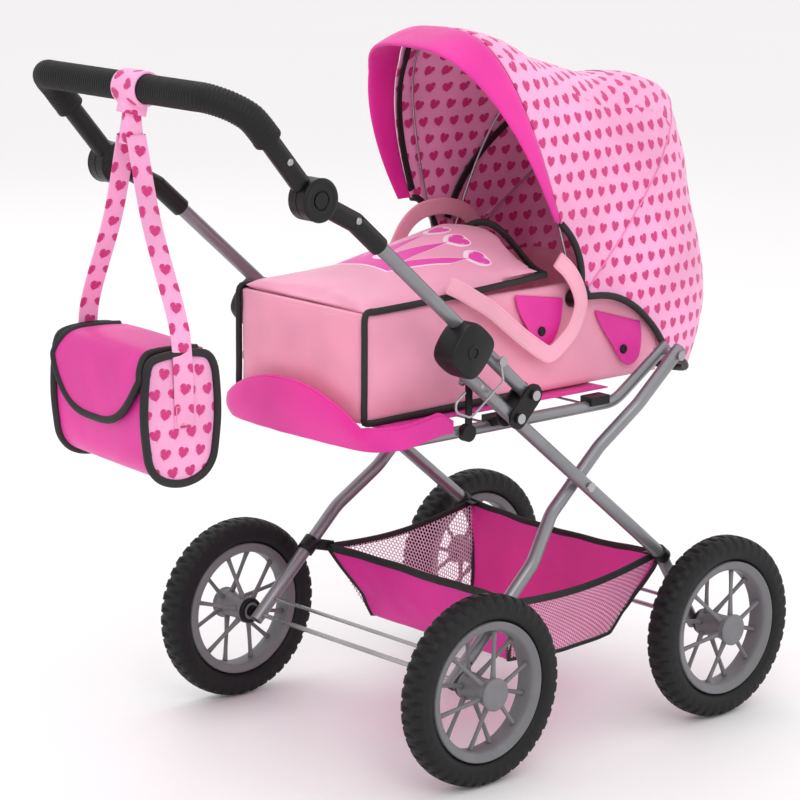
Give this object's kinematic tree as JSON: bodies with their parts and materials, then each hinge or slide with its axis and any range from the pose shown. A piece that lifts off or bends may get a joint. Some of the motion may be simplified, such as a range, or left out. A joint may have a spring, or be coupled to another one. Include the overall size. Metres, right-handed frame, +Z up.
{
  "type": "doll stroller",
  "caption": "Doll pram on a folding cross frame with spoked wheels, a carrycot with a heart-print hood, a mesh basket below and a bag on the handlebar.",
  "frame": {"origin": "on the ground, under the middle of the pram's overall length and width", "axes": "+X the way it travels, towards the hood end; +Y to its left; +Z up"},
  "size_m": [0.7896, 0.4216, 0.7103],
  "materials": {
    "frame_paint": "satin silver powder coat",
    "bright_steel": "plain steel wire and rod",
    "rim_plastic": "moulded grey plastic",
    "tyre_rubber": "matt black",
    "black_plastic": "moulded black plastic, fine grain",
    "grip_foam": "finely ribbed black grip",
    "pale_cloth": "pale pink woven cloth",
    "magenta_cloth": "magenta woven cloth",
    "heart_cloth": "pink cloth printed with small hearts",
    "webbing": "pale pink webbing"
  },
  "bodies": {
    "main_frame": {"main_tube_left": "frame_paint", "main_tube_right": "frame_paint", "front_axle": "bright_steel", "front_stay": "bright_steel", "front_axle_spacers": "black_plastic", "frame_rivets": "bright_steel", "handle_bracket_left": "black_plastic", "handle_bracket_right": "black_plastic", "tray_rest_pins": "bright_steel", "shopping_basket": "magenta_cloth"},
    "cross_frame": {"cross_tube_left": "frame_paint", "cross_tube_right": "frame_paint", "rear_axle": "bright_steel", "rear_stay": "bright_steel", "rear_axle_spacers": "black_plastic", "tray_pins": "bright_steel"},
    "wheel_rear_left": {"tyre_rear_left": "tyre_rubber", "rim_rear_left": "rim_plastic", "hub_fittings_rear_left": "rim_plastic"},
    "wheel_rear_right": {"tyre_rear_right": "tyre_rubber", "rim_rear_right": "rim_plastic", "hub_fittings_rear_right": "rim_plastic"},
    "wheel_front_left": {"tyre_front_left": "tyre_rubber", "rim_front_left": "rim_plastic", "hub_fittings_front_left": "rim_plastic"},
    "wheel_front_right": {"tyre_front_right": "tyre_rubber", "rim_front_right": "rim_plastic", "hub_fittings_front_right": "rim_plastic"},
    "tray": {"tray_rail": "frame_paint", "tray_saddles": "black_plastic", "tray_hangers": "black_plastic", "tray_sheet": "magenta_cloth", "foot_flap": "magenta_cloth"},
    "carrycot": {"cot_body": "pale_cloth", "cot_apron": "pale_cloth", "snap_flaps": "magenta_cloth", "hood_canopy": "heart_cloth", "hood_bow_rear": "bright_steel", "hood_pivots": "black_plastic"},
    "hood_front": {"hood_bow_front": "bright_steel", "hood_visor": "magenta_cloth"},
    "hood_middle": {"hood_bow_middle": "bright_steel"},
    "carry_left": {"carry_handle_left": "webbing"},
    "carry_right": {"carry_handle_right": "webbing"},
    "handle_lower": {"handle_tube_left": "frame_paint", "handle_tube_right": "frame_paint", "lower_knuckles": "black_plastic"},
    "handlebar": {"handlebar_core": "bright_steel", "handle_grip": "grip_foam", "upper_knuckles": "black_plastic"},
    "lock_left": {"slider_left": "black_plastic"},
    "lock_right": {"slider_right": "black_plastic"},
    "bail_left": {"lock_bail_left": "bright_steel"},
    "bail_right": {"lock_bail_right": "bright_steel"},
    "button_left": {"push_button_left": "black_plastic"},
    "button_right": {"push_button_right": "black_plastic"},
    "bag_ring": {"bag_loop": "heart_cloth"},
    "shoulder_bag": {"bag_body": "magenta_cloth", "bag_strap": "heart_cloth"},
    "bag_cover": {"bag_flap": "magenta_cloth"}
  },
  "joints": [
    {"name": "frame_fold", "type": "hinge", "parent": "main_frame", "child": "cross_frame", "pos_m": [0.11215, 0, 0.2624], "axis": [0, 1, 0], "range_deg": [0, 30]},
    {"name": "wheel_rear_left_spin", "type": "hinge", "parent": "cross_frame", "child": "wheel_rear_left", "pos_m": [-0.06325, 0.188, 0.095], "axis": [0, 1, 0], "continuous": true},
    {"name": "wheel_rear_right_spin", "type": "hinge", "parent": "cross_frame", "child": "wheel_rear_right", "pos_m": [-0.06325, -0.188, 0.095], "axis": [0, 1, 0], "continuous": true},
    {"name": "wheel_front_left_spin", "type": "hinge", "parent": "main_frame", "child": "wheel_front_left", "pos_m": [0.27175, 0.188, 0.095], "axis": [0, 1, 0], "continuous": true},
    {"name": "wheel_front_right_spin", "type": "hinge", "parent": "main_frame", "child": "wheel_front_right", "pos_m": [0.27175, -0.188, 0.095], "axis": [0, 1, 0], "continuous": true},
    {"name": "tray_tilt", "type": "hinge", "parent": "cross_frame", "child": "tray", "pos_m": [0.24675, 0, 0.377], "axis": [0, 1, 0], "range_deg": [-15, 0]},
    {"name": "carrycot_lift", "type": "slide", "parent": "tray", "child": "carrycot", "axis": [0, 0, 1], "range_m": [0, 0.1]},
    {"name": "hood_fold", "type": "hinge", "parent": "carrycot", "child": "hood_front", "pos_m": [0.14175, 0, 0.442], "axis": [0, 1, 0], "range_deg": [0, 40], "deforming": ["hood_canopy"]},
    {"name": "hood_middle_fold", "type": "hinge", "parent": "carrycot", "child": "hood_middle", "pos_m": [0.14175, 0, 0.442], "axis": [0, 1, 0], "range_deg": [0, 18]},
    {"name": "carry_left_swing", "type": "hinge", "parent": "carrycot", "child": "carry_left", "pos_m": [0.12475, 0.0895, 0.472], "axis": [1, 0, 0], "range_deg": [0, 50]},
    {"name": "carry_right_swing", "type": "hinge", "parent": "carrycot", "child": "carry_right", "pos_m": [0.05475, -0.1103, 0.488], "axis": [-1, 0, 0], "range_deg": [0, 90]},
    {"name": "handle_fold", "type": "hinge", "parent": "main_frame", "child": "handle_lower", "pos_m": [0.02905, 0, 0.3683], "axis": [0, 1, 0], "range_deg": [0, 40]},
    {"name": "handle_angle", "type": "hinge", "parent": "handle_lower", "child": "handlebar", "pos_m": [-0.24425, 0, 0.586], "axis": [0, -1, 0], "range_deg": [-30, 40]},
    {"name": "slider_left_lift", "type": "slide", "parent": "handle_lower", "child": "lock_left", "axis": [-0.7568, 0, 0.6537], "range_m": [0, 0.035]},
    {"name": "bail_left_swing", "type": "hinge", "parent": "handle_lower", "child": "bail_left", "pos_m": [-0.01725, 0.1616, 0.4083], "axis": [0, -1, 0], "range_deg": [0, 35]},
    {"name": "button_left_press", "type": "slide", "parent": "handle_lower", "child": "button_left", "axis": [0, -1, 0], "range_m": [0, 0.003], "stiffness_N_per_m": 600},
    {"name": "slider_right_lift", "type": "slide", "parent": "handle_lower", "child": "lock_right", "axis": [-0.7568, 0, 0.6537], "range_m": [0, 0.035]},
    {"name": "bail_right_swing", "type": "hinge", "parent": "handle_lower", "child": "bail_right", "pos_m": [-0.01725, -0.1616, 0.4083], "axis": [0, -1, 0], "range_deg": [0, 35]},
    {"name": "button_right_press", "type": "slide", "parent": "handle_lower", "child": "button_right", "axis": [0, 1, 0], "range_m": [0, 0.003], "stiffness_N_per_m": 600},
    {"name": "bag_ring_turn", "type": "hinge", "parent": "handlebar", "child": "bag_ring", "pos_m": [-0.34325, -0.022, 0.682], "axis": [0, 1, 0], "range_deg": [-40, 0]},
    {"name": "bag_swing", "type": "hinge", "parent": "bag_ring", "child": "shoulder_bag", "pos_m": [-0.34325, -0.022, 0.682], "axis": [0, 1, 0], "range_deg": [-30, 40]},
    {"name": "bag_flap_open", "type": "hinge", "parent": "shoulder_bag", "child": "bag_cover", "pos_m": [-0.31621, -0.02753, 0.4496], "axis": [0.165, 0.9863, 0], "range_deg": [0, 40]}
  ],
  "couplings": [
    {"joint": "tray_tilt", "follows": "frame_fold", "ratio": -0.5},
    {"joint": "hood_middle_fold", "follows": "hood_fold", "ratio": 0.45},
    {"joint": "bag_ring_turn", "follows": "handle_fold", "ratio": -1},
    {"joint": "bag_swing", "follows": "handle_angle", "ratio": 1}
  ]
}
